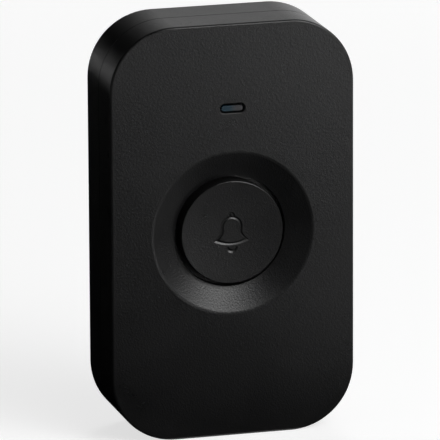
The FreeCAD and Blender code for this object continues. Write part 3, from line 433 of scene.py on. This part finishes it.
def math_node(tree, operation, first, second=0.0, clamp=False):
    made = tree.nodes.new("ShaderNodeMath")
    made.operation = operation
    made.use_clamp = clamp
    for socket, value in zip(made.inputs, (first, second)):
        if hasattr(value, "is_linked"):
            tree.links.new(value, socket)
        else:
            socket.default_value = value
    return made.outputs["Value"]


def ramp_node(tree, value, start, end, low=0.0, high=1.0):
    made = tree.nodes.new("ShaderNodeMapRange")
    made.interpolation_type = "SMOOTHSTEP"
    tree.links.new(value, made.inputs["Value"])
    made.inputs["From Min"].default_value = start
    made.inputs["From Max"].default_value = end
    made.inputs["To Min"].default_value = low
    made.inputs["To Max"].default_value = high
    return made.outputs["Result"]


def plain_card(name, half, height):
    mesh = bpy.data.meshes.new(name)
    corners = [(x * half, y * half, height) for x, y in ((-1, -1), (1, -1), (1, 1), (-1, 1))]
    mesh.from_pydata(corners, [], [(0, 1, 2, 3)])
    card = bpy.data.objects.new(name, mesh)
    bpy.context.scene.collection.objects.link(card)
    material = bpy.data.materials.new(name)
    material.use_nodes = True
    material.node_tree.nodes.clear()
    mesh.materials.append(material)
    return card, material.node_tree


def grey(level):
    return (level, level, level, 1.0)


def ray_kinds(tree):
    """Two shares: 1 for rays straight to the camera, and 1 for rays mirrored or through glass."""
    path = tree.nodes.new("ShaderNodeLightPath")
    glossy, through = path.outputs["Is Glossy Ray"], path.outputs["Is Transmission Ray"]
    return path.outputs["Is Camera Ray"], math_node(tree, "MAXIMUM", glossy, through)


def make_floor(height):
    """A plain pale floor, white where it is seen, with the object's shadow kept."""
    floor, tree = plain_card("floor", FLOOR_HALF, height)
    paint = tree.nodes.new("ShaderNodeBsdfDiffuse")
    paint.inputs["Color"].default_value = grey(FLOOR_COLOUR)
    pale = tree.nodes.new("ShaderNodeBsdfDiffuse")
    pale.inputs["Color"].default_value = grey(FLOOR_SEEN_COLOUR)
    glow = tree.nodes.new("ShaderNodeEmission")
    geometry = tree.nodes.new("ShaderNodeNewGeometry")
    length = tree.nodes.new("ShaderNodeVectorMath")
    length.operation = "LENGTH"
    tree.links.new(geometry.outputs["Position"], length.inputs[0])
    strength = ramp_node(tree, length.outputs["Value"], FLOOR_FADE_START, FLOOR_FADE_END,
                         low=FLOOR_SEEN_GLOW)
    tree.links.new(strength, glow.inputs["Strength"])
    white = tree.nodes.new("ShaderNodeAddShader")
    tree.links.new(pale.outputs[0], white.inputs[0])
    tree.links.new(glow.outputs[0], white.inputs[1])
    choice = tree.nodes.new("ShaderNodeMixShader")
    tree.links.new(math_node(tree, "MAXIMUM", *ray_kinds(tree)), choice.inputs[0])
    tree.links.new(paint.outputs[0], choice.inputs[1])
    tree.links.new(white.outputs[0], choice.inputs[2])
    output = tree.nodes.new("ShaderNodeOutputMaterial")
    tree.links.new(choice.outputs[0], output.inputs["Surface"])


def squared_distance(tree, first, second, first_middle, second_middle, first_radius, second_radius):
    """((first - middle) / radius)^2 + ((second - middle) / radius)^2"""
    total = 0.0
    pairs = ((first, first_middle, first_radius), (second, second_middle, second_radius))
    for value, middle, radius in pairs:
        offset = math_node(tree, "DIVIDE", math_node(tree, "SUBTRACT", value, middle), radius)
        total = math_node(tree, "ADD", math_node(tree, "MULTIPLY", offset, offset), total)
    return total


def hot_spot(tree, square, radiance):
    """A bell curve: radiance in the middle, fading smoothly with the squared distance."""
    fade = math_node(tree, "EXPONENT", math_node(tree, "MULTIPLY", square, -0.5))
    return math_node(tree, "MULTIPLY", fade, radiance)


def make_flag(height):
    """A black card above the floor that only gloss sees: it paints dark reflections on the object, and its
    soft pools of light, paler behind on the right, are painted reflections.
    """
    flag, tree = plain_card("flag", FLAG_HALF, height + FLAG_LIFT)
    geometry = tree.nodes.new("ShaderNodeNewGeometry")
    axes = tree.nodes.new("ShaderNodeSeparateXYZ")
    tree.links.new(geometry.outputs["Position"], axes.inputs["Vector"])
    glow = 0.0
    for pool in POOLS:
        square = squared_distance(tree, axes.outputs["X"], axes.outputs["Y"],
                                  pool["x"], pool["y"], pool["radius"], pool["radius"])
        glow = math_node(tree, "ADD", hot_spot(tree, square, pool["radiance"]), glow)
    right = ramp_node(tree, axes.outputs["X"], *CORNER_RIGHT)
    behind = ramp_node(tree, axes.outputs["Y"], *CORNER_BEHIND, high=CORNER_LIGHT)
    glow = math_node(tree, "ADD", math_node(tree, "MULTIPLY", right, behind), glow)
    light = tree.nodes.new("ShaderNodeEmission")
    tree.links.new(glow, light.inputs["Strength"])
    output = tree.nodes.new("ShaderNodeOutputMaterial")
    tree.links.new(light.outputs[0], output.inputs["Surface"])
    flag.visible_camera = False
    flag.visible_diffuse = False
    flag.visible_transmission = False
    flag.visible_shadow = False


def make_world():
    """White to the camera, and white in gloss behind the object on its right; an even fill otherwise."""
    world = bpy.data.worlds.new("studio")
    bpy.context.scene.world = world
    world.use_nodes = True
    tree = world.node_tree
    tree.nodes.clear()
    coordinates = tree.nodes.new("ShaderNodeTexCoord")
    axes = tree.nodes.new("ShaderNodeSeparateXYZ")
    tree.links.new(coordinates.outputs["Generated"], axes.inputs["Vector"])
    behind = ramp_node(tree, axes.outputs["Y"], BACKDROP_NEAR, BACKDROP_FAR, high=BACKDROP_LIGHT)
    beside = ramp_node(tree, axes.outputs["X"], BACKDROP_LEFT, BACKDROP_RIGHT)
    backdrop = math_node(tree, "MULTIPLY", behind, beside)
    camera, mirrored = ray_kinds(tree)
    strength = math_node(tree, "ADD", math_node(tree, "MULTIPLY", mirrored, backdrop), camera)
    lit = math_node(tree, "SUBTRACT", 1.0, math_node(tree, "ADD", mirrored, camera), clamp=True)
    strength = math_node(tree, "ADD", strength, math_node(tree, "MULTIPLY", lit, FILL_LIGHT))
    background = tree.nodes.new("ShaderNodeBackground")
    background.inputs["Color"].default_value = grey(1.0)
    tree.links.new(strength, background.inputs["Strength"])
    output = tree.nodes.new("ShaderNodeOutputWorld")
    tree.links.new(background.outputs[0], output.inputs["Surface"])


def square_lamp(name, size, radiance, azimuth, elevation, distance):
    """A square softbox that points at the object. The camera doesn't see it."""
    data = bpy.data.lights.new(name, "AREA")
    data.shape = "SQUARE"
    data.size = size
    data.energy = radiance * math.pi * size ** 2
    lamp = bpy.data.objects.new(name, data)
    bpy.context.scene.collection.objects.link(lamp)
    lamp.visible_camera = False
    aim(lamp, direction(azimuth, elevation) * distance, (0.0, 0.0, 0.0))
    return lamp


def make_key_lamp():
    lamp = square_lamp("key_lamp", KEY_SIZE, 1.0, KEY_AZIMUTH, KEY_ELEVATION, KEY_DISTANCE)
    lamp.data.use_nodes = True
    tree = lamp.data.node_tree
    emission = next(node for node in tree.nodes if node.type == "EMISSION")
    geometry = tree.nodes.new("ShaderNodeNewGeometry")
    axes = tree.nodes.new("ShaderNodeSeparateXYZ")
    tree.links.new(geometry.outputs["Parametric"], axes.inputs["Vector"])
    square = squared_distance(tree, axes.outputs["X"], axes.outputs["Y"], 0.5, 0.5,
                              KEY_SPREAD_ACROSS / KEY_SIZE, KEY_SPREAD_UP / KEY_SIZE)
    tree.links.new(hot_spot(tree, square, KEY_RADIANCE), emission.inputs["Strength"])


def make_back_lamp():
    """Lights the back and the right side. No gloss shows it."""
    lamp = square_lamp("back_lamp", BACK_SIZE, BACK_RADIANCE, BACK_AZIMUTH, BACK_ELEVATION, BACK_DISTANCE)
    lamp.visible_glossy = False


def make_studio():
    foot = cad_box[0].z
    make_floor(foot)
    make_flag(foot)
    make_world()
    make_key_lamp()
    make_back_lamp()
    bpy.context.scene.view_settings.view_transform = "Standard"


make_camera()
make_studio()
plastics()
seal_rubber()
lens_plastic()
board_laminate()
metals()
ceramics()
springs()
